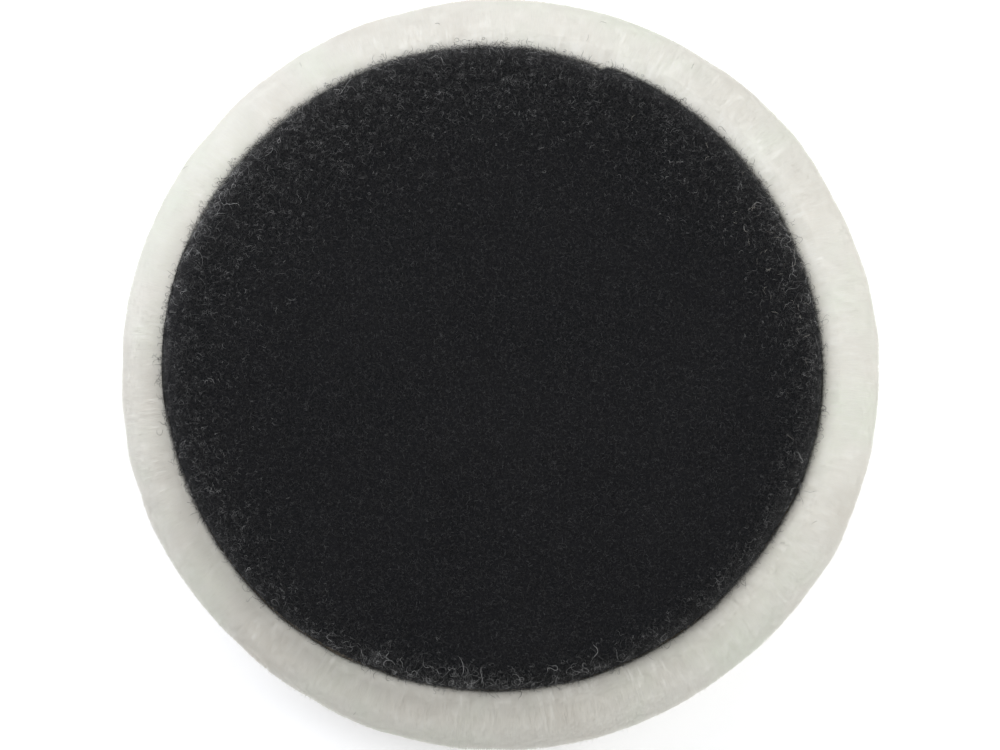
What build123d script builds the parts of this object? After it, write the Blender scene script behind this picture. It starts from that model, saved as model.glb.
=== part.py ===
from build123d import *
import os

# Lambswool polishing pad with a brushed-loop back, for a 125 mm hook backing plate.
# Millimetres, +Z up and out of the loop face, origin at the middle of the loop face.
# The pad is a lamination. From the top: loop fabric, glue film, foam interface, glue film,
# tanned sheepskin, and the wool that grows out of the skin. The wool also stands up round
# the edge of the stack, so that nothing but fleece can touch the work.

# ---- Driving dimensions ----
fleece_diameter = 150.0
fleece_height = 29.0
backing_diameter = 130.0
fleece_offset_x = 1.5  # the fleece is trimmed a little off the middle of the backing

loop_thickness = 2.0
film_thickness = 0.3
foam_thickness = 5.0
skin_thickness = 1.4

shoulder_radius = 4.5  # how softly the loop fabric rolls over the edge of the foam
skin_inset = 0.5  # the skin is cut this much inside the loop fabric's outline
edge_clearance = 0.4  # between the stack and the wool that stands round it

collar_depth = 3.5  # top of the wool round the stack, below the loop face
collar_roll = (7.0, 6.0)  # how the wool rounds from that top to its side: inwards, down
sole_roll = (12.0, 9.0)  # how it rounds from the side to the working face: inwards, up

# ---- Derived levels and radii ----
backing_radius = backing_diameter / 2
fleece_radius = fleece_diameter / 2
face_radius = backing_radius - shoulder_radius
foam_radius = backing_radius - loop_thickness - film_thickness
skin_radius = backing_radius - skin_inset
film_top = -loop_thickness
foam_top = film_top - film_thickness
foam_bottom = foam_top - foam_thickness
skin_top = foam_bottom - film_thickness
skin_bottom = skin_top - skin_thickness


def rolled_sheet(top, outer_radius, roll_radius, thickness):
    """Half section of a sheet that lies flat at height top and rolls down round its edge."""
    flat_end = outer_radius - roll_radius
    lip = top - roll_radius
    with BuildSketch(Plane.XZ) as half_section:
        with BuildLine():
            Line((0, top), (flat_end, top))
            RadiusArc((flat_end, top), (outer_radius, lip), roll_radius)
            Line((outer_radius, lip), (outer_radius - thickness, lip))
            RadiusArc((outer_radius - thickness, lip), (flat_end, top - thickness), thickness - roll_radius)
            Line((flat_end, top - thickness), (0, top - thickness))
            Line((0, top - thickness), (0, top))
        make_face()
    return half_section.sketch


# Brushed loop fabric: flat where the plate grips it, rolled down all round.
with BuildPart() as loop_backing:
    revolve(rolled_sheet(0, backing_radius, shoulder_radius, loop_thickness), axis=Axis.Z)
loop_backing.part.label = "loop_backing"

# Hot-melt film that bonds the fabric to the foam and follows it over the shoulder.
film_radius = backing_radius - loop_thickness
film_roll = shoulder_radius - loop_thickness
with BuildPart() as backing_film:
    revolve(rolled_sheet(film_top, film_radius, film_roll, film_thickness), axis=Axis.Z)
backing_film.part.label = "backing_film"

# Soft foam interface, rounded along its upper edge.
with BuildPart() as foam_interface:
    with BuildSketch(Plane.XY.offset(foam_bottom)):
        Circle(foam_radius)
    extrude(amount=foam_thickness)
    upper_edge = foam_interface.edges().sort_by(Axis.Z)[-1]
    fillet(upper_edge, radius=shoulder_radius - loop_thickness - film_thickness)
foam_interface.part.label = "foam_interface"

# Film of glue between the foam and the skin.
with BuildPart() as skin_film:
    with BuildSketch(Plane.XY.offset(skin_top)):
        Circle(foam_radius)
    extrude(amount=film_thickness)
skin_film.part.label = "skin_film"

# Tanned sheepskin, which carries the wool.
with BuildPart() as sheepskin:
    with BuildSketch(Plane.XY.offset(skin_bottom)):
        Circle(skin_radius)
    extrude(amount=skin_thickness)
sheepskin.part.label = "sheepskin"

# Wool: a soft round bun with a flat working face below and a pocket above for the stack.
side_top = -collar_depth - collar_roll[1]
side_bottom = -fleece_height + sole_roll[1]
collar_edge = fleece_radius - collar_roll[0]
sole_edge = fleece_radius - sole_roll[0]
fleece_centre = (fleece_offset_x, 0, 0)
with BuildPart() as wool_pile:
    with BuildSketch(Plane(origin=fleece_centre, x_dir=(1, 0, 0), z_dir=(0, -1, 0))):
        with BuildLine():
            Line((0, -collar_depth), (collar_edge, -collar_depth))
            EllipticalCenterArc((collar_edge, side_top), *collar_roll, start_angle=0, arc_size=90)
            Line((fleece_radius, side_top), (fleece_radius, side_bottom))
            EllipticalCenterArc((sole_edge, side_bottom), *sole_roll, start_angle=270, arc_size=90)
            Line((sole_edge, -fleece_height), (0, -fleece_height))
            Line((0, -fleece_height), (0, -collar_depth))
        make_face()
    revolve(axis=Axis(fleece_centre, (0, 0, 1)))
    with BuildSketch(Plane.XY.offset(skin_bottom)):
        Circle(backing_radius + edge_clearance)
    extrude(amount=-skin_bottom, mode=Mode.SUBTRACT)
wool_pile.part.label = "wool_pile"

os.makedirs("parts", exist_ok=True)
for layer in (loop_backing, backing_film, foam_interface, skin_film, sheepskin, wool_pile):
    export_step(layer.part, f"parts/{layer.part.label}.step")
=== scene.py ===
"""Looks of a lambswool polishing pad: brushed-loop backing above, combed fleece round it and below."""
import math

import bpy
import numpy as np
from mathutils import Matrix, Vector
from mathutils.kdtree import KDTree


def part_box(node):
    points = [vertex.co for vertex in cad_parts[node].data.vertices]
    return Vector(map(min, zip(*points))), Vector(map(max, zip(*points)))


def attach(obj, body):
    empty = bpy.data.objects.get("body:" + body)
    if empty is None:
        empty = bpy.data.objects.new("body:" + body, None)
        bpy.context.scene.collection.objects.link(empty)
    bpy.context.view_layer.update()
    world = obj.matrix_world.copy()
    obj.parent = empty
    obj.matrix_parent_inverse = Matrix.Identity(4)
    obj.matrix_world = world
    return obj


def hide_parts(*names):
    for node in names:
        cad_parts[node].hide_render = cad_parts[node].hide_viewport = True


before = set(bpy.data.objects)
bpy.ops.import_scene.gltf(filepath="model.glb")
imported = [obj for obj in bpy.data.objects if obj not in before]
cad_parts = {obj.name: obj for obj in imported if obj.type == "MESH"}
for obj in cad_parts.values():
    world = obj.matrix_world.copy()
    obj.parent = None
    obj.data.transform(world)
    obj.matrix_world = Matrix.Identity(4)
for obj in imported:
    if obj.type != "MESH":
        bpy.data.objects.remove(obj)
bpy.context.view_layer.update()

MM = 0.001
FULL_TURN = 2 * math.pi

# ---- Sizes read from the frame ----
loop_lo, loop_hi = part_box("loop_backing")
wool_lo, wool_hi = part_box("wool_pile")
BACKING_RADIUS = (loop_hi.y - loop_lo.y) / 2
ROLL_RADIUS = -loop_lo.z  # the fabric's edge rolls down in a quarter turn
FLAT_RADIUS = BACKING_RADIUS - ROLL_RADIUS
CUT_RADIUS = FLAT_RADIUS + ROLL_RADIUS * math.pi / 2  # the fabric's radius laid flat
FLEECE_RADIUS = (wool_hi.y - wool_lo.y) / 2
FLEECE_X = (wool_hi.x + wool_lo.x) / 2
FLEECE_TOP = wool_hi.z
FLEECE_BOTTOM = wool_lo.z
SKIN_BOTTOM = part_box("sheepskin")[0].z

# ---- Sizes of the looks ----
FABRIC_THICKNESS = 1.9 * MM
STACK_GAP = 0.10 * MM  # between the fabric's edge and the wool that stands round it
# Along the rim of wool: mm outwards from its crest, slope in degrees.
RIM_TURNS = ((0.0, 0.0), (1.2, 16.0), (5.2, 24.0), (8.2, 48.0), (11.8, 88.0))
SIDE_BOTTOM = FLEECE_BOTTOM + 10.0 * MM
SIDE_TAPER = 1.2 * MM  # how much narrower the fleece is at the foot of its side
SOLE_ROLL = 13.0 * MM
# The fabric's outline has a dent: where it starts and how wide it is, in degrees anticlockwise from +X.
DENT_ANGLE, DENT_SPAN = 69.0, 13.0
DENT_DEPTH = 0.016  # as a share of the radius
LIP_Z = FLEECE_TOP - 1.3 * MM  # the wool leaves the stack's edge at this height


# ---------------------------------------------------------------- small tools
def rim_curve():
    """The rim of wool from its crest out to where the side is upright, as offsets from the crest."""
    along, slope = np.array(RIM_TURNS).T
    travel = np.linspace(0, along[-1], 60)
    turn = np.radians(np.interp((travel[1:] + travel[:-1]) / 2, along, slope))
    step = np.diff(travel)[:, None] * MM * np.stack([np.cos(turn), -np.sin(turn)], -1)
    return np.concatenate([[[0, 0]], np.cumsum(step, axis=0)])


def smooth_noise(points, cell, seed):
    """Noise between -1 and 1 that changes over about one cell, at an array of points."""
    period = 32
    lattice = np.random.default_rng(seed).uniform(-1, 1, (period,) * 3)
    scaled = np.asarray(points) / cell
    low = np.floor(scaled).astype(int)
    step = scaled - low
    step = step * step * (3 - 2 * step)
    total = 0
    for corner in np.ndindex(2, 2, 2):
        weight = np.prod(np.where(corner, step, 1 - step), axis=-1)
        i, j, k = np.moveaxis((low + corner) % period, -1, 0)
        total = total + weight * lattice[i, j, k]
    return total


def unit(vectors):
    """The same vectors at length 1."""
    return vectors / np.maximum(np.linalg.norm(vectors, axis=-1, keepdims=True), 1e-12)


def mesh_object(name, points, faces):
    """A smooth-shaded object from points and a list of face arrays, each (n, corners)."""
    mesh = bpy.data.meshes.new(name)
    corners = np.concatenate([f.ravel() for f in faces]).astype(np.int32)
    sizes = np.concatenate([np.full(len(f), f.shape[1]) for f in faces]).astype(np.int32)
    mesh.vertices.add(len(points))
    mesh.vertices.foreach_set("co", np.asarray(points, np.float32).ravel())
    mesh.loops.add(len(corners))
    mesh.loops.foreach_set("vertex_index", corners)
    mesh.polygons.add(len(sizes))
    mesh.polygons.foreach_set("loop_start", np.concatenate([[0], np.cumsum(sizes)[:-1]]).astype(np.int32))
    mesh.polygons.foreach_set("loop_total", sizes)
    mesh.update(calc_edges=True)
    mesh.validate()
    mesh.shade_smooth()
    piece = bpy.data.objects.new(name, mesh)
    bpy.context.scene.collection.objects.link(piece)
    return piece


def ribbons(name, centres, facing, width, rng, twist, shaded_as=None):
    """One tapering ribbon for each row of centres (n, k, 3), its flat side about towards facing.

    shaded_as gives the normals for the shading, (n, k, 3) or (n, 1, 3), so that massed fibres look soft.
    """
    count, rows = centres.shape[:2]
    along = unit(np.gradient(centres, axis=1))
    across = unit(np.cross(along, facing))
    upright = np.cross(across, along)
    turn = (rng.uniform(-1, 1, count) * twist)[:, None, None]
    across = across * np.cos(turn) + upright * np.sin(turn)
    share = np.linspace(0, 1, rows)
    taper = (0.75 + 0.25 * np.sin(math.pi * share)) * np.clip(3.0 * (1.02 - share), 0, 1)
    half = (np.asarray(width).reshape(-1, 1) * taper / 2)[..., None]
    left, right = centres - across * half, centres + across * half
    pairs = np.stack([left[:, :-1], right[:, :-1]], axis=2).reshape(count, -1, 3)
    points = np.concatenate([pairs, centres[:, -1:]], axis=1)
    first = np.arange(count)[:, None] * points.shape[1]
    steps = [np.concatenate([first + 2 * i + corner for corner in (0, 1, 3, 2)], axis=1)
             for i in range(rows - 2)]
    last = 2 * (rows - 2)
    tips = np.concatenate([first + last, first + last + 1, first + last + 2], axis=1)
    piece = mesh_object(name, points.reshape(-1, 3), [np.concatenate(steps), tips])
    if shaded_as is not None:
        each = np.broadcast_to(unit(shaded_as), centres.shape)
        normals = np.concatenate([np.repeat(each[:, :-1], 2, axis=1), each[:, -1:]], axis=1)
        soft = piece.data.attributes.new("custom_normal", "FLOAT_VECTOR", "POINT")
        soft.data.foreach_set("vector", normals.astype(np.float32).ravel())
    return piece


def material(name):
    """A new node material and its Principled shader."""
    made = bpy.data.materials.new(name)
    made.use_nodes = True
    return made, made.node_tree.nodes["Principled BSDF"]


def noise_node(tree, scale, detail, roughness=0.6):
    """A noise texture in object space; scale is in cells for each metre."""
    place = tree.nodes.new("ShaderNodeTexCoord")
    texture = tree.nodes.new("ShaderNodeTexNoise")
    texture.inputs["Scale"].default_value = scale
    texture.inputs["Detail"].default_value = detail
    texture.inputs["Roughness"].default_value = roughness
    tree.links.new(place.outputs["Object"], texture.inputs["Vector"])
    return texture.outputs["Fac"]


def distance_node(tree, middle=(0, 0)):
    """How far a point is from an upright axis through middle, in metres, in object space."""
    place = tree.nodes.new("ShaderNodeTexCoord")
    from_middle = tree.nodes.new("ShaderNodeVectorMath")
    from_middle.operation = "SUBTRACT"
    from_middle.inputs[1].default_value = (*middle, 0)
    tree.links.new(place.outputs["Object"], from_middle.inputs[0])
    flat = tree.nodes.new("ShaderNodeVectorMath")
    flat.operation = "MULTIPLY"
    flat.inputs[1].default_value = (1, 1, 0)
    tree.links.new(from_middle.outputs["Vector"], flat.inputs[0])
    length = tree.nodes.new("ShaderNodeVectorMath")
    length.operation = "LENGTH"
    tree.links.new(flat.outputs["Vector"], length.inputs[0])
    return length.outputs["Value"]


def range_node(tree, value, low, high):
    """The value mapped so that low gives 0 and high gives 1, held to those ends."""
    mapped = tree.nodes.new("ShaderNodeMapRange")
    mapped.inputs["From Min"].default_value = low
    mapped.inputs["From Max"].default_value = high
    tree.links.new(value, mapped.inputs["Value"])
    return mapped.outputs["Result"]


def ramp_node(tree, value, stops):
    """A colour ramp over value; stops are (place, colour) pairs."""
    ramp = tree.nodes.new("ShaderNodeValToRGB")
    elements = ramp.color_ramp.elements
    while len(elements) < len(stops):
        elements.new(0.5)
    for element, (place, colour) in zip(elements, stops):
        element.position = place
        element.color = (*colour, 1)
    tree.links.new(value, ramp.inputs["Fac"])
    return ramp.outputs["Color"]


def multiply_node(tree, first, second):
    """The product of two colour outputs."""
    mix = tree.nodes.new("ShaderNodeMix")
    mix.data_type = "RGBA"
    mix.blend_type = "MULTIPLY"
    mix.inputs["Factor"].default_value = 1.0
    tree.links.new(first, mix.inputs["A"])
    tree.links.new(second, mix.inputs["B"])
    return mix.outputs["Result"]


def bump_node(tree, height, strength, distance):
    """A bump normal from a height output."""
    bump = tree.nodes.new("ShaderNodeBump")
    bump.inputs["Strength"].default_value = strength
    bump.inputs["Distance"].default_value = distance
    tree.links.new(height, bump.inputs["Height"])
    return bump.outputs["Normal"]


def matt(shader, roughness, specular, sheen=0.0, sheen_tint=(1, 1, 1)):
    """Sets the even, unlinked finish of a cloth-like surface."""
    shader.inputs["Roughness"].default_value = roughness
    shader.inputs["Specular IOR Level"].default_value = specular
    shader.inputs["Sheen Weight"].default_value = sheen
    shader.inputs["Sheen Roughness"].default_value = 0.5
    shader.inputs["Sheen Tint"].default_value = (*sheen_tint, 1)


# ---------------------------------------------------------------- materials
def painted_shade_tint(tree):
    """A warm painted shade on the wool: darkest beside the fabric's edge, which shades it, and towards
    the front left, away from the lamps.
    """
    # The middle is moved to the front left, so the painted shade reaches further out at the front.
    away = distance_node(tree, (-1.4 * MM, -3.8 * MM))
    from_edge = range_node(tree, away, BACKING_RADIUS - 2 * MM, BACKING_RADIUS + 7 * MM)
    return ramp_node(tree, from_edge, [(0.0, (0.72, 0.71, 0.69)), (0.35, (0.885, 0.875, 0.855)),
                                       (0.7, (0.98, 0.978, 0.97)), (1.0, (1, 1, 1))])


def wool_fibre_material():
    """Cream wool: every fibre has its own tint, patches differ, and painted shade darkens it beside the
    fabric and towards the front left.
    """
    made, shader = material("combed_wool")
    tree = made.node_tree
    island = tree.nodes.new("ShaderNodeNewGeometry").outputs["Random Per Island"]
    fibre = ramp_node(tree, island, [(0.0, (0.727, 0.718, 0.665)), (0.3, (0.736, 0.728, 0.677)),
                                     (0.8, (0.743, 0.738, 0.690)), (1.0, (0.752, 0.748, 0.703))])
    patch = ramp_node(tree, noise_node(tree, 45, 3.0),
                      [(0.30, (0.95, 0.925, 0.90)), (0.48, (1.0, 0.99, 0.975)),
                       (0.66, (0.975, 1.0, 0.955))])
    unshaded_colour = multiply_node(tree, fibre, patch)
    # Painted shade: darker beside the fabric's edge and towards the front left.
    with_painted_shade = multiply_node(tree, unshaded_colour, painted_shade_tint(tree))
    tree.links.new(with_painted_shade, shader.inputs["Base Color"])
    matt(shader, 0.8, 0.1, 0.15, (1.0, 0.98, 0.94))
    return made


def wool_body_material():
    """The dense fleece between the fibres, streaked by strands."""
    made, shader = material("inner_wool")
    tree = made.node_tree
    streak = ramp_node(tree, noise_node(tree, 900, 6.0, 0.7),
                       [(0.35, (0.695, 0.686, 0.633)), (0.65, (0.740, 0.733, 0.683))])
    # Painted shade: darker beside the fabric's edge and towards the front left.
    with_painted_shade = multiply_node(tree, streak, painted_shade_tint(tree))
    tree.links.new(with_painted_shade, shader.inputs["Base Color"])
    strands = bump_node(tree, noise_node(tree, 1500, 5.0, 0.7), 0.15, 0.1 * MM)
    tree.links.new(strands, shader.inputs["Normal"])
    matt(shader, 0.9, 0.1, 0.1)
    return made


def loop_fabric_material():
    """Charcoal brushed loop: felted grain, small pits, and slow mottling over the whole face."""
    made, shader = material("brushed_loop")
    tree = made.node_tree
    grain = ramp_node(tree, noise_node(tree, 1900, 4.0, 0.7),
                      [(0.33, (0.0016, 0.0016, 0.0019)), (0.50, (0.0042, 0.0043, 0.0048)),
                       (0.72, (0.0080, 0.0082, 0.0088))])
    mottle = ramp_node(tree, noise_node(tree, 38, 3.0, 0.55),
                       [(0.32, (0.86, 0.86, 0.89)), (0.68, (1.25, 1.26, 1.25))])
    tree.links.new(multiply_node(tree, grain, mottle), shader.inputs["Base Color"])
    felt = bump_node(tree, noise_node(tree, 2200, 5.0, 0.75), 0.9, 0.25 * MM)
    tree.links.new(felt, shader.inputs["Normal"])
    matt(shader, 0.95, 0.12, 0.12, (0.75, 0.78, 0.85))
    return made


def fibre_material(name, tints, patches=None):
    """Fibres that each take one tint from a ramp; tints and patches are (share, colour) pairs.

    patches, where given, darken and lighten whole clumps of fibres.
    """
    made, shader = material(name)
    tree = made.node_tree
    island = tree.nodes.new("ShaderNodeNewGeometry").outputs["Random Per Island"]
    colour = ramp_node(tree, island, tints)
    if patches:
        clump = ramp_node(tree, noise_node(tree, 420, 3.0, 0.6), patches)
        colour = multiply_node(tree, colour, clump)
    tree.links.new(colour, shader.inputs["Base Color"])
    matt(shader, 0.6, 0.25)
    return made


def greys(blue, *stops):
    """Ramp stops from (place, tint) pairs; blue makes the greys cooler above 1 and warmer below."""
    return [(place, (tint, tint, blue * tint)) for place, tint in stops]


def sealed_material(name, scale, dark, light, roughness, depth):
    """A grained finish for a layer that is closed inside the pad."""
    made, shader = material(name)
    tree = made.node_tree
    grain = noise_node(tree, scale, 5.0, 0.65)
    tree.links.new(ramp_node(tree, grain, [(0.35, dark), (0.65, light)]), shader.inputs["Base Color"])
    tree.links.new(bump_node(tree, grain, 0.7, depth), shader.inputs["Normal"])
    matt(shader, roughness, 0.3)
    return made


# ---------------------------------------------------------------- loop fabric
WORN_SIDE = math.radians(115)  # the side where more fibres have been pulled out of the nap
WORN_MORE = 0.45  # how strongly loose fibres gather on that side
EDGE_DEPTHS = (0.13, 0.80)  # how far in they reach, in radii, on the unworn and on the worn side
EDGE_CROWD = 6  # how strongly they crowd at the outline
# The spots where whole loops have been pulled: degrees, spread in degrees, share of the loops.
PULLED = ((264, 15, 0.28), (146, 14, 0.35), (95, 12, 0.10), (22, 8, 0.12), (180, 90, 0.15))
CURL_WIDTHS = (0.04 * MM, 0.07 * MM)
CURL_TWIST = 0.6  # radians that a flat curl may turn about its own line
NAP_ROWS = 5
FABRIC_CELLS = 276  # across the sheet's grid
UNDER_RINGS = (1.0, 0.985, 0.965, 0.945, 0.92, 0.6, 0.3)  # of the underside, as shares of its radius


def cut_wobble(angle):
    """How far the hand-cut outline leaves a true circle, as a share of the radius."""
    slow = -0.0130 + 0.0050 * np.cos(2 * angle)
    quick = 0.0025 * np.cos(4 * angle + 0.9) + 0.0026 * np.cos(6 * angle + 1.0)
    quick = quick + 0.0006 * np.sin(13 * angle)
    # In one place wool bulges over the edge.
    past_dent = (np.degrees(angle) % 360 - DENT_ANGLE) / DENT_SPAN
    dent = np.clip(12 * past_dent, 0, 1) * np.clip(1 - past_dent, 0, 1)
    return slow + quick - DENT_DEPTH * dent


def fabric_surface(flat_x, flat_y):
    """Where a point of the flat cut lies once the fabric is on the pad, and its outward normal."""
    reach = np.hypot(flat_x, flat_y)
    angle = np.arctan2(flat_y, flat_x)
    bend = np.clip((reach - FLAT_RADIUS) / ROLL_RADIUS, 0, math.pi / 2)
    radius = np.minimum(reach, FLAT_RADIUS) + ROLL_RADIUS * np.sin(bend)
    radius = radius * (1 + cut_wobble(angle) * np.clip(reach / FLAT_RADIUS, 0, 1) ** 4)
    cos, sin = np.cos(angle), np.sin(angle)
    points = np.stack([radius * cos, radius * sin, -ROLL_RADIUS * (1 - np.cos(bend))], -1)
    normals = np.stack([np.sin(bend) * cos, np.sin(bend) * sin, np.cos(bend)], -1)
    return points, normals


def fabric_relief(points):
    """Height of the felted nap over the fabric's middle surface."""
    nubs = 0.085 * smooth_noise(points, 0.75 * MM, 11) + 0.05 * smooth_noise(points, 1.7 * MM, 12)
    slow = 0.06 * smooth_noise(points, 9 * MM, 13) + 0.10 * smooth_noise(points, 26 * MM, 14)
    return (nubs + slow - 0.15) * MM


def disc_grid(cells):
    """Points of a square grid pressed into a unit disc, ring by ring, with its quads and its rim."""
    side = np.linspace(-1, 1, cells + 1)
    a, b = np.meshgrid(side, side, indexing="ij")
    wide = np.abs(a) > np.abs(b)
    with np.errstate(divide="ignore", invalid="ignore"):
        by_a = math.pi / 4 * np.nan_to_num(b / a)
        by_b = math.pi / 2 - math.pi / 4 * np.nan_to_num(a / b)
    angle = np.where(wide, by_a, by_b)
    radius = np.where(wide, a, b)
    x, y = radius * np.cos(angle), radius * np.sin(angle)
    index = np.arange((cells + 1) ** 2).reshape(cells + 1, cells + 1)
    quads = np.stack([index[:-1, :-1], index[1:, :-1], index[1:, 1:], index[:-1, 1:]], -1).reshape(-1, 4)
    rim = np.concatenate([index[:-1, 0], index[-1, :-1], index[:0:-1, -1], index[0, :0:-1]])
    return x.ravel(), y.ravel(), quads, rim


def make_loop_fabric():
    """The sheet itself: felted upper side, rolled rim and a plain glued underside."""
    x, y, quads, rim = disc_grid(FABRIC_CELLS)
    points, normals = fabric_surface(x * CUT_RADIUS, y * CUT_RADIUS)
    points = points + normals * fabric_relief(points)[:, None]
    rings, faces, previous = [points], [quads], rim
    for share in UNDER_RINGS:
        base, normal = fabric_surface(x[rim] * CUT_RADIUS * share, y[rim] * CUT_RADIUS * share)
        rings.append(base - normal * FABRIC_THICKNESS)
        start = sum(len(r) for r in rings[:-1])
        ring = start + np.arange(len(rim))
        faces.append(np.stack([previous, ring, np.roll(ring, -1), np.roll(previous, -1)], -1))
        previous = ring
    centre = sum(len(r) for r in rings)
    rings.append(np.array([[0, 0, -FABRIC_THICKNESS]]))
    faces.append(np.stack([previous, np.full(len(rim), centre), np.roll(previous, -1)], -1))
    return mesh_object("loop_fabric", np.concatenate(rings), faces)


def spread_on_disc(rng, count, radius):
    """Even random points on a disc of the flat cut."""
    reach = np.sqrt(rng.uniform(0, radius ** 2, count))
    angle = rng.uniform(0, FULL_TURN, count)
    return reach * np.cos(angle), reach * np.sin(angle)


def along_surface(x, y, heading, length, rows, height):
    """Paths from flat points x, y that run along the fabric by heading and arch over it."""
    step = length[:, None] / rows
    path_x = x[:, None] + np.cumsum(step * np.cos(heading), axis=1)
    path_y = y[:, None] + np.cumsum(step * np.sin(heading), axis=1)
    base, normals = fabric_surface(path_x, path_y)
    over = np.maximum(np.hypot(path_x, path_y) - CUT_RADIUS, 0)
    outward = unit(np.stack([path_x, path_y, np.zeros_like(path_x)], -1))
    arch = np.sin(math.pi * np.linspace(0, 1, rows)) ** 0.7
    lift = fabric_relief(base) + height[:, None] * arch - 0.03 * MM
    return base + normals * lift[..., None] + outward * over[..., None], normals


def make_nap(name, count, seed):
    """Short curly fibres that arch out of the fabric and back, as brushed loops do."""
    rng = np.random.default_rng(seed)
    x, y = spread_on_disc(rng, count, 0.99 * CUT_RADIUS)
    share = np.linspace(-0.5, 0.5, NAP_ROWS)[None, :]
    heading = rng.uniform(0, FULL_TURN, (count, 1)) + rng.normal(0, 2.4, (count, 1)) * share
    length = rng.uniform(0.5, 1.3, count) * MM
    arch = rng.uniform(0.05, 0.32, count) * MM
    centres, normals = along_surface(x, y, heading, length, NAP_ROWS, arch)
    return ribbons(name, centres, normals, rng.uniform(0.06, 0.10, count) * MM, rng, twist=0.8)


def worn_angles(rng, count, strength=1.0):
    """Random directions from the middle, most of them towards the worn side."""
    angle = rng.uniform(0, FULL_TURN, count)
    return angle + WORN_MORE * strength * np.sin(WORN_SIDE - angle)


def over_the_face(rng, count):
    """Places spread over the whole face: angle and distance from the middle."""
    share = np.sqrt(rng.uniform(0, 0.98, count))
    return worn_angles(rng, count, share), CUT_RADIUS * share


def by_the_edge(rng, count):
    """Places that crowd at the outline and thin out inwards, further in on the worn side."""
    angle = worn_angles(rng, count)
    depth = np.interp(np.cos(angle - WORN_SIDE), (-1, 1), EDGE_DEPTHS)
    share = 1 - depth * (1 - rng.uniform(0, 1, count) ** (1 / EDGE_CROWD))
    past = np.clip((BACKING_RADIUS * share - FLAT_RADIUS) / ROLL_RADIUS, 0, 1)
    rolled = FLAT_RADIUS + ROLL_RADIUS * np.arcsin(past)
    return angle, np.where(past > 0, rolled, BACKING_RADIUS * share)


def pulled_places(rng, count):
    """Places right at the outline, most of them in the few spots where whole loops have been pulled."""
    middle, spread, share = np.array(PULLED).T
    spot = rng.choice(len(PULLED), count, p=share)
    angle = np.radians(middle[spot] + spread[spot] * rng.normal(0, 1, count))
    return angle, FLAT_RADIUS + ROLL_RADIUS * rng.triangular(0.3, 1.1, 1.3, count)


def curl_headings(rng, length, bow, rows):
    """Headings (n, rows) along curls of the given lengths; bow is the radius of a typical curl."""
    share = np.linspace(-0.5, 0.5, rows)[None, :]
    tightness = rng.normal(0, 0.8, len(length)) / bow
    sway = rng.normal(0, 1.3, (len(length), 1))
    phase = rng.uniform(0, 1, (len(length), 1))
    start = rng.uniform(0, FULL_TURN, (len(length), 1))
    wander = sway * np.sin(FULL_TURN * (1.3 * share + phase))
    return start + (tightness * length)[:, None] * share + wander


def make_curls(name, count, places, lengths, bow, high, seed, rows, thick):
    """Fibres pulled out of the nap into curls that lie on the fabric.

    bow is the radius of a typical curl, high is how far one may stand off the fabric and thick
    is a factor on the fibres' width.
    """
    rng = np.random.default_rng(seed)
    angle, reach = places(rng, count)
    length = rng.uniform(*lengths, count)
    heading = curl_headings(rng, length, bow, rows)
    x, y = reach * np.cos(angle), reach * np.sin(angle)
    centres, normals = along_surface(x, y, heading, length, rows, high * rng.uniform(0.25, 1.0, count))
    facing = unit(normals + (0, 0, 0.6))
    width = thick * rng.uniform(*CURL_WIDTHS, count)
    return ribbons(name, centres, facing, width, rng, CURL_TWIST, facing[:, [rows // 2]])


def make_outline_curls(name, count, longest, bow, seed, rows=16):
    """Loose curls that hang out of the fabric's edge and lie on the wool beside it."""
    rng = np.random.default_rng(seed)
    angle = worn_angles(rng, count)
    length = longest * rng.uniform(0.25, 1.0, count) ** 1.5
    heading = curl_headings(rng, length, bow, rows)
    radius = BACKING_RADIUS * (1 + cut_wobble(angle)) - 0.7 * MM + rng.normal(0, 0.65, count) * MM
    step = length[:, None] / rows
    path_x = (radius * np.cos(angle))[:, None] + np.cumsum(step * np.cos(heading), axis=1)
    path_y = (radius * np.sin(angle))[:, None] + np.cumsum(step * np.sin(heading), axis=1)
    low = FLEECE_TOP + 0.15 * MM
    inside = np.clip((radius[:, None] + 0.4 * MM - np.hypot(path_x, path_y)) / (3 * MM), 0, 1)
    path_z = low + (rng.uniform(0, 0.8, (count, 1)) + 4.0 * inside) * MM
    centres = np.stack([path_x, path_y, path_z], -1)
    facing = np.zeros_like(centres) + (0, 0, 1)
    width = rng.uniform(*CURL_WIDTHS, count)
    return ribbons(name, centres, facing, width, rng, CURL_TWIST, facing[:, :1])


# ---------------------------------------------------------------- fleece
def quarter(centre, radii, start, steps):
    """Points of a quarter ellipse that turns clockwise from the angle start."""
    angle = start - np.linspace(0, math.pi / 2, steps)
    return np.stack([centre[0] + radii[0] * np.cos(angle), centre[1] + radii[1] * np.sin(angle)], -1)


RIM = rim_curve()
CREST_INSET = RIM[-1, 0]
SIDE_TOP = FLEECE_TOP + RIM[-1, 1]


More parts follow.
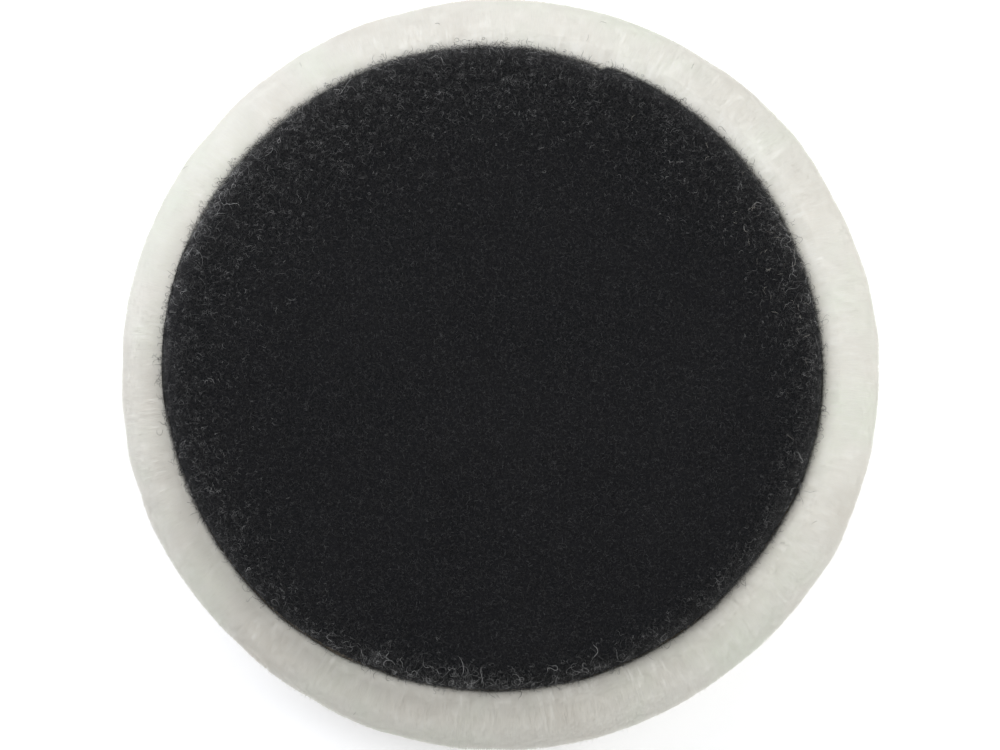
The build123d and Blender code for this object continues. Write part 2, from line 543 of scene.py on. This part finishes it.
def fleece_outline():
    """Half the fleece's outline: up beside the stack, over the rim, down and under."""
    inner = BACKING_RADIUS + STACK_GAP
    crest = FLEECE_RADIUS - CREST_INSET
    outside = RIM + (crest, FLEECE_TOP)
    wall = np.stack([np.full(8, inner), np.linspace(SKIN_BOTTOM, LIP_Z, 8)], -1)
    inside = quarter((crest, LIP_Z), (crest - inner, FLEECE_TOP - LIP_Z), math.pi, 14)
    hem_radius = FLEECE_RADIUS - SIDE_TAPER
    side = np.linspace((FLEECE_RADIUS, SIDE_TOP), (hem_radius, SIDE_BOTTOM), 8)
    sole_edge = hem_radius - SOLE_ROLL
    under = quarter((sole_edge, SIDE_BOTTOM), (SOLE_ROLL, SIDE_BOTTOM - FLEECE_BOTTOM), 0, 20)
    sole = np.stack([np.linspace(sole_edge, 0, 20), np.full(20, FLEECE_BOTTOM)], -1)
    return np.concatenate([wall, inside[1:], outside[1:], side[1:], under[1:], sole[1:]])


OUTLINE = fleece_outline()
TRAVEL = np.concatenate([[0], np.cumsum(np.linalg.norm(np.diff(OUTLINE, axis=0), axis=1))])


def travel_at(radius, height):
    """Distance along the outline of its point nearest to a radius and height."""
    return TRAVEL[np.argmin(np.hypot(OUTLINE[:, 0] - radius, OUTLINE[:, 1] - height))]


LIP = travel_at(BACKING_RADIUS + STACK_GAP, LIP_Z)
CREST = travel_at(FLEECE_RADIUS - CREST_INSET, FLEECE_TOP)
BROW = CREST + RIM_TURNS[3][0] * MM
SHOULDER = travel_at(FLEECE_RADIUS, SIDE_TOP)
HEM = travel_at(FLEECE_RADIUS - SIDE_TAPER, SIDE_BOTTOM)
SOLE = travel_at(FLEECE_RADIUS - SIDE_TAPER - SOLE_ROLL, FLEECE_BOTTOM)
MIDDLE = TRAVEL[-1]


# How the fibres lie, by distance along the outline: their angle off the surface in radians, their
# length, how strongly they join into tufts, how far their tips leave an even surface, how far they
# turn about their own line in radians, how far whole tufts differ from each other, how unlike their
# neighbours' the shading normals are, and how deep below the tips the dense inner fleece lies.
ZONES = (LIP - 1 * MM, CREST, BROW, SHOULDER, HEM, SOLE, MIDDLE)
LIE = (0.05, 0.05, 0.06, 0.12, 0.34, 1.0, 1.2)
LONG = np.array((6.0, 7.0, 7.0, 6.5, 6.0, 5.0, 5.0)) * MM
GATHER = (0.0, 0.0, 0.0, 0.05, 0.24, 0.46, 0.50)
UNEVEN = np.array((0.01, 0.01, 0.02, 0.06, 0.18, 0.30, 0.35)) * MM
TWIST = (0.10, 0.10, 0.10, 0.22, 0.5, 0.6, 0.6)
MOOD = (0.0, 0.0, 0.05, 0.3, 0.6, 0.8, 1.0)
SPREAD = (0.015, 0.02, 0.035, 0.10, 0.22, 0.26, 0.30)
BODY_DEPTHS = np.array((0.10, 0.12, 0.20, 0.42, 0.60, 0.75, 0.80)) * MM
TUFT_COUNT = 3600
BODY_AROUND = 420  # points of the inner fleece round the pad


def fleece_surface(travel, angle):
    """Points, outward normals and combed directions of the fleece's outside."""
    radius = np.interp(travel, TRAVEL, OUTLINE[:, 0])
    height = np.interp(travel, TRAVEL, OUTLINE[:, 1])
    reach = 0.6 * MM
    ahead, behind = travel + reach, travel - reach
    along_r, along_z = (np.interp(ahead, TRAVEL, axis) - np.interp(behind, TRAVEL, axis)
                        for axis in OUTLINE.T)
    size = np.maximum(np.hypot(along_r, along_z), 1e-9)
    along_r, along_z = along_r / size, along_z / size
    # The stack isn't in the fleece's middle, so the collar is wider on one side.
    crest = FLEECE_RADIUS - CREST_INSET
    inner = BACKING_RADIUS + STACK_GAP
    here = -FLEECE_X * np.cos(angle) + np.sqrt(inner ** 2 - (FLEECE_X * np.sin(angle)) ** 2)
    here = here + BACKING_RADIUS * cut_wobble(angle)
    shifted = here + (radius - inner) * (crest - here) / (crest - inner)
    radius = np.where(travel < CREST, shifted, radius)
    cos, sin = np.cos(angle), np.sin(angle)
    points = np.stack([FLEECE_X + radius * cos, radius * sin, height], -1)
    normals = np.stack([-along_z * cos, -along_z * sin, along_r], -1)
    combed = np.stack([along_r * cos, along_r * sin, along_z], -1)
    return points, normals, combed


def fleece_swell(points):
    """Slow hand-trimmed unevenness of the fleece, along its normal."""
    return (0.35 * smooth_noise(points, 17 * MM, 21) + 0.22 * smooth_noise(points, 6 * MM, 22)) * MM


def make_fleece_body():
    """The dense inner fleece, a closed bun with a pocket for the stack."""
    travel = np.concatenate([np.linspace(0, SOLE, 120), np.linspace(SOLE, MIDDLE - 1.0 * MM, 60)[1:]])
    angle = np.linspace(0, FULL_TURN, BODY_AROUND, endpoint=False)
    t, a = np.meshgrid(travel, angle, indexing="ij")
    points, normals, _ = fleece_surface(t, a)
    depth = np.interp(t, ZONES, BODY_DEPTHS)
    lumps = 0.25 * smooth_noise(points, 2.6 * MM, 23) + 0.15 * smooth_noise(points, 1.2 * MM, 24)
    shape = points + normals * (fleece_swell(points) - depth * (1 + lumps))[..., None]
    index = np.arange(t.size).reshape(t.shape)
    across = np.roll(index, -1, axis=1)
    quads = np.stack([index[:-1], index[1:], across[1:], across[:-1]], -1).reshape(-1, 4)
    flat = shape.reshape(-1, 3)
    sole_middle, pocket_middle = len(flat), len(flat) + 1
    sole_point = [FLEECE_X, 0, float(shape[-1, :, 2].mean())]
    pocket_point = [0, 0, SKIN_BOTTOM - 0.05 * MM]
    last, first = index[-1], index[0]
    sole_fan = np.stack([last, np.full(BODY_AROUND, sole_middle), np.roll(last, -1)], -1)
    pocket_fan = np.stack([first, np.roll(first, -1), np.full(BODY_AROUND, pocket_middle)], -1)
    points = np.concatenate([flat, [sole_point, pocket_point]])
    return mesh_object("fleece_body", points, [quads, np.concatenate([sole_fan, pocket_fan])])


def spread_on_fleece(rng, count, start, end):
    """Even random places on a band of the fleece, as travel and angle."""
    fine = np.linspace(start, end, 400)
    weight = np.cumsum(np.maximum(np.interp(fine, TRAVEL, OUTLINE[:, 0]), 0.5 * MM))
    picks = (np.arange(count) + rng.uniform(0, 1, count)) / count
    travel = np.interp(picks, (weight - weight[0]) / (weight[-1] - weight[0]), fine)
    return travel, rng.uniform(0, FULL_TURN, count)


def tuft_centres():
    """Middles of the tufts into which the fibres gather."""
    rng = np.random.default_rng(31)
    travel, angle = spread_on_fleece(rng, TUFT_COUNT, LIP - 1 * MM, MIDDLE)
    points, _, _ = fleece_surface(travel, angle)
    return points, rng.normal(size=(len(points), 3))


TUFTS, TUFT_MOODS = tuft_centres()
TUFT_TREE = KDTree(len(TUFTS))
for number, place in enumerate(TUFTS):
    TUFT_TREE.insert(place, number)
TUFT_TREE.balance()


def make_wool(name, count, start, end, seed, loose=0.0, rows=8):
    """Fibres of one band of the fleece, rooted deep and combed outwards and down.

    loose is how far, in metres, the tips may stand off the rest.
    """
    rng = np.random.default_rng(seed)
    travel, angle = spread_on_fleece(rng, count, start, end)
    tips, normals, combed = fleece_surface(travel, angle)
    nearest = np.array([TUFT_TREE.find(p)[1] for p in tips])
    mood = TUFT_MOODS[nearest] * np.interp(travel, ZONES, MOOD)[:, None]
    pull = (TUFTS[nearest] - tips) * np.interp(travel, ZONES, GATHER)[:, None]
    lie = np.interp(travel, ZONES, LIE) * np.exp(0.18 * mood[:, 0] + rng.normal(0, 0.12, count))
    long = np.interp(travel, ZONES, LONG) * rng.uniform(0.7, 1.15, count)
    swirl = 0.10 * mood[:, 1] + 0.15 * smooth_noise(tips, 14 * MM, 41) + rng.normal(0, 0.05, count)
    raise_by = np.interp(travel, ZONES, UNEVEN) * (0.7 * mood[:, 2] + rng.normal(0, 0.6, count))
    raise_by = raise_by + loose * rng.uniform(0, 1, count) ** 2
    share = np.linspace(0, 1, rows)[None, :]
    behind = (long * np.cos(lie))[:, None] * (1 - share)
    depth = (long * np.sin(lie))[:, None] * (1 - share) ** 1.25
    radius = np.maximum(np.hypot(tips[:, 0] - FLEECE_X, tips[:, 1]), 4 * MM)
    path_travel = np.maximum(travel[:, None] - behind * np.cos(swirl)[:, None], 0.5 * MM)
    path_angle = angle[:, None] - behind * (np.sin(swirl) / radius)[:, None]
    base, path_normals, _ = fleece_surface(path_travel, path_angle)
    lift = raise_by[:, None] * share ** 1.5 + fleece_swell(base) - depth
    centres = base + path_normals * lift[..., None] + pull[:, None] * (share ** 2)[..., None]
    side = unit(np.cross(normals, combed))
    phase = rng.uniform(0, FULL_TURN, (count, 1))
    crimp = np.sin(FULL_TURN * (share * long[:, None] / (3.4 * MM)) + phase)
    centres = centres + side[:, None] * (crimp * 0.07 * MM * (1.2 - share))[..., None]
    twist = np.interp(travel, ZONES, TWIST)
    unlike = rng.normal(size=(count, 3)) * np.interp(travel, ZONES, SPREAD)[:, None]
    _, soft, _ = fleece_surface(np.maximum(path_travel, CREST), path_angle)
    width = rng.uniform(0.05, 0.085, count) * MM
    return ribbons(name, centres, path_normals, width, rng, twist, soft + unlike[:, None])


def make_stray(name, count, seed, place, longest, thickness, rows=12):
    """Loose single fibres in gentle curls; place gives points, normals and one direction."""
    rng = np.random.default_rng(seed)
    base, normal, side = place(rng, count)
    ahead = np.cross(normal, side)
    length = longest * rng.uniform(0.35, 1.0, (count, 1))
    share = np.linspace(-0.5, 0.5, rows)[None, :]
    bend = rng.normal(0, 1.6, (count, 1))
    hook = rng.normal(0, 2.2, (count, 1))
    heading = rng.uniform(0, FULL_TURN, (count, 1)) + bend * share + hook * share ** 2
    step = length / rows
    right = np.cumsum(step * np.cos(heading), axis=1)
    front = np.cumsum(step * np.sin(heading), axis=1)
    lift = (0.25 + 0.35 * np.sin(math.pi * (share + 0.5))) * MM
    centres = (base[:, None] + side[:, None] * right[..., None] + ahead[:, None] * front[..., None]
               + normal[:, None] * lift[..., None])
    facing = np.repeat(normal[:, None], rows, axis=1)
    return ribbons(name, centres, facing, rng.uniform(0.8, 1.2, count) * thickness, rng, twist=0.6)


# ---------------------------------------------------------------- camera, light, floor
def make_camera():
    """A long lens almost straight above the pad, a little to the front, at the photographed angle."""
    lens, sensor = 200.0, 36.0
    elevation = math.radians(81.0)
    target = Vector((FLEECE_X, -0.15 * MM, (SIDE_TOP + SIDE_BOTTOM) / 2))
    width_share = 0.757  # of the frame's width
    distance = 2 * FLEECE_RADIUS / width_share * lens / sensor
    back = Vector((0, -math.cos(elevation), math.sin(elevation)))
    data = bpy.data.cameras.new("camera")
    data.lens, data.sensor_width = lens, sensor
    camera = bpy.data.objects.new("camera", data)
    camera.location = target + back * distance
    camera.rotation_euler = (-back).to_track_quat("-Z", "Y").to_euler()
    bpy.context.scene.collection.objects.link(camera)
    bpy.context.scene.camera = camera


def make_lamp(name, azimuth, elevation, distance, size, power, colour=(1, 1, 1)):
    """A square soft box that looks at the pad."""
    a, e = math.radians(azimuth), math.radians(elevation)
    way = Vector((math.sin(a) * math.cos(e), -math.cos(a) * math.cos(e), math.sin(e)))
    data = bpy.data.lights.new(name, "AREA")
    data.size, data.energy, data.color = size, power, colour
    lamp = bpy.data.objects.new(name, data)
    lamp.location = way * distance
    lamp.rotation_euler = (-way).to_track_quat("-Z", "Y").to_euler()
    lamp.visible_camera = False
    bpy.context.scene.collection.objects.link(lamp)


def make_studio():
    """A white floor that brightens outwards, a pale surround, and soft boxes behind, left and right."""
    mesh = bpy.data.meshes.new("floor")
    half = 40.0
    corners = [(-half, -half, 0), (half, -half, 0), (half, half, 0), (-half, half, 0)]
    mesh.from_pydata(corners, [], [(0, 1, 2, 3)])
    floor = bpy.data.objects.new("floor", mesh)
    floor.location.z = FLEECE_BOTTOM - 0.4 * MM
    bpy.context.scene.collection.objects.link(floor)
    paint, shader = material("floor_paint")
    shader.inputs["Base Color"].default_value = (0.90, 0.90, 0.90, 1)
    shader.inputs["Roughness"].default_value = 0.9
    shader.inputs["Specular IOR Level"].default_value = 0.0
    tree = paint.node_tree
    far = range_node(tree, distance_node(tree), 0.2, 1.4)
    glow = ramp_node(tree, far, greys(1.0, (0.0, 0.22), (1.0, 0.62)))
    tree.links.new(glow, shader.inputs["Emission Color"])
    shader.inputs["Emission Strength"].default_value = 1.0
    mesh.materials.append(paint)
    world = bpy.data.worlds.new("studio")
    world.use_nodes = True
    tree = world.node_tree
    place = tree.nodes.new("ShaderNodeTexCoord")
    split = tree.nodes.new("ShaderNodeSeparateXYZ")
    tree.links.new(place.outputs["Generated"], split.inputs["Vector"])
    sky = ramp_node(tree, split.outputs["Z"], [(0.14, (1.0, 1.0, 1.0)), (0.23, (0.560, 0.565, 0.582))])
    tree.links.new(sky, tree.nodes["Background"].inputs["Color"])
    bpy.context.scene.world = world
    make_lamp("key", 172, 36, 0.45, 0.28, 0.66)
    make_lamp("left", 250, 40, 0.45, 0.30, 1.15, (0.97, 0.985, 1.06))
    make_lamp("right", 82, 40, 0.45, 0.30, 0.89)
    bpy.context.scene.view_settings.view_transform = "Standard"


# ---------------------------------------------------------------- assembly
def finish_piece(piece, paint, slot, *replaced):
    """Gives a piece its material and body and hides the CAD nodes that it stands for; slot is not used.
    """
    piece.data.materials.append(paint)
    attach(piece, "root")
    if replaced:
        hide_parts(*replaced)
    return piece


def near_rim(rng, count):
    """Places near the fabric's rolled edge, on the side where wool has shed onto it."""
    reach = rng.uniform(FLAT_RADIUS - 5 * MM, CUT_RADIUS - 1 * MM, count)
    angle = rng.normal(0.45, 0.30, count)
    base, normal = fabric_surface(reach * np.cos(angle), reach * np.sin(angle))
    side = unit(np.cross(normal, [0, 0, 1.0]) + 1e-6)
    return base, normal, side


def on_collar(rng, count):
    """Places on the rim of wool."""
    travel, angle = spread_on_fleece(rng, count, CREST - 3 * MM, SHOULDER - 3 * MM)
    return fleece_surface(travel, angle)


make_camera()
make_studio()

wool_paint = wool_fibre_material()
fleece_body = finish_piece(make_fleece_body(), wool_body_material(), "wool", "wool_pile")
FIBRES_EACH = 15000
# Bands of the fleece: name, from where to where along the outline, pieces.
BANDS = (("collar", LIP - 1 * MM, BROW, 3), ("brow", BROW, SHOULDER, 2), ("side", SHOULDER, HEM, 3),
         ("hem", HEM, SOLE, 2), ("sole", SOLE, MIDDLE, 2))
for band, (band_name, start, end, pieces) in enumerate(BANDS):
    for number in range(pieces):
        seed = 100 + 10 * band + number
        fibres = make_wool(f"wool_{band_name}_{number + 1}", FIBRES_EACH, start, end, seed)
        finish_piece(fibres, wool_paint, "wool")
# Fibres that stand off the rest: name, how many, from where to where, seed, how far off.
STANDING_OFF = (("flyaway", 4000, SHOULDER + 1 * MM, SOLE, 190, 1.0 * MM),
                ("loose", 6000, CREST, SHOULDER + 4 * MM, 191, 0.25 * MM))
for band_name, count, start, end, seed, loose in STANDING_OFF:
    finish_piece(make_wool(f"wool_{band_name}", count, start, end, seed, loose), wool_paint, "wool")

loop_fabric = finish_piece(make_loop_fabric(), loop_fabric_material(), "loop_fabric", "loop_backing")
COOL, EVEN, WARM = 1.04, 1.0, 0.98
CLUMPS = greys(EVEN, (0.35, 0.40), (0.50, 1.0), (0.66, 1.75))
NAP_TINTS = greys(COOL, (0.0, 0.0018), (0.6, 0.0072), (0.9, 0.020), (1.0, 0.043))
CURL_TINTS = greys(EVEN, (0.0, 0.0015), (0.5, 0.008), (0.85, 0.026), (1.0, 0.050))
EDGE_TINTS = greys(WARM, (0.0, 0.0015), (0.50, 0.008), (0.80, 0.038), (1.0, 0.145))
OUTLINE_TINTS = greys(WARM, (0.0, 0.004), (0.4, 0.010), (0.75, 0.042), (1.0, 0.20))
PULLED_TINTS = greys(WARM, (0.0, 0.020), (0.5, 0.085), (1.0, 0.40))
nap_paint = fibre_material("nap_fibres", NAP_TINTS)
curl_paint = fibre_material("curl_fibres", CURL_TINTS, CLUMPS)
edge_paint = fibre_material("edge_fibres", EDGE_TINTS, CLUMPS)
outline_paint = fibre_material("outline_fibres", OUTLINE_TINTS)
loop_paint = fibre_material("pulled_loops", PULLED_TINTS)

NAP_EACH, OUTLINE_EACH = 26000, 3600
for patch in range(3):
    finish_piece(make_nap(f"loop_nap_{patch + 1}", NAP_EACH, 51 + patch), nap_paint, "loop_fabric")
# Name, curls in each piece, where they start, finish; then lengths, bow and height in mm, the first
# piece's seed, rows of points and thickness.
CURLS = (("face_curls", 14500, over_the_face, curl_paint, (0.7, 1.8), 0.42, 0.45, 61, 8, 0.74),
         ("edge_curls", 12500, by_the_edge, edge_paint, (0.6, 2.4), 0.36, 0.7, 64, 9, 0.75))
for curls_name, count, places, paint, (short, long), bow, high, seed, rows, thick in CURLS:
    for patch in range(3):
        curls = make_curls(f"{curls_name}_{patch + 1}", count, places, (short * MM, long * MM), bow * MM,
                           high * MM, seed + patch, rows, thick)
        finish_piece(curls, paint, "loop_fabric")
for patch in range(2):
    curls = make_outline_curls(f"outline_curls_{patch + 1}", OUTLINE_EACH, 3.2 * MM, 0.5 * MM, 68 + patch)
    finish_piece(curls, outline_paint, "loop_fabric")
loops = make_curls("pulled_loops", 900, pulled_places, (2.0 * MM, 6.5 * MM), 0.75 * MM, 1.0 * MM, 75,
                   rows=20, thick=0.78)
finish_piece(loops, loop_paint, "loop_fabric")

dark_hair = fibre_material("dark_hair", ((0.0, (0.05, 0.045, 0.04)), (1.0, (0.16, 0.15, 0.14))))
pale_hair = fibre_material("pale_hair", ((0.0, (0.12, 0.11, 0.10)), (1.0, (0.45, 0.43, 0.38))))
finish_piece(make_stray("stray_dark", 12, 71, on_collar, 2.2 * MM, 0.06 * MM), dark_hair, "loop_fabric")
finish_piece(make_stray("stray_pale", 60, 72, near_rim, 2.6 * MM, 0.035 * MM), pale_hair, "wool")

GLUE = (300, (0.50, 0.47, 0.40), (0.62, 0.60, 0.52), 0.35, 0.05 * MM)
SEALED = {
    "foam_interface": sealed_material("foam", 1400, (0.03, 0.03, 0.032), (0.085, 0.085, 0.09), 0.95,
                                      0.3 * MM),
    "backing_film": sealed_material("backing_glue", *GLUE),
    "skin_film": sealed_material("skin_glue", *GLUE),
    "sheepskin": sealed_material("tanned_skin", 700, (0.60, 0.49, 0.34), (0.76, 0.66, 0.50), 0.75,
                                 0.15 * MM),
}
for node, paint in SEALED.items():
    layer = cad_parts[node]
    layer.data.materials.clear()
    layer.data.materials.append(paint)
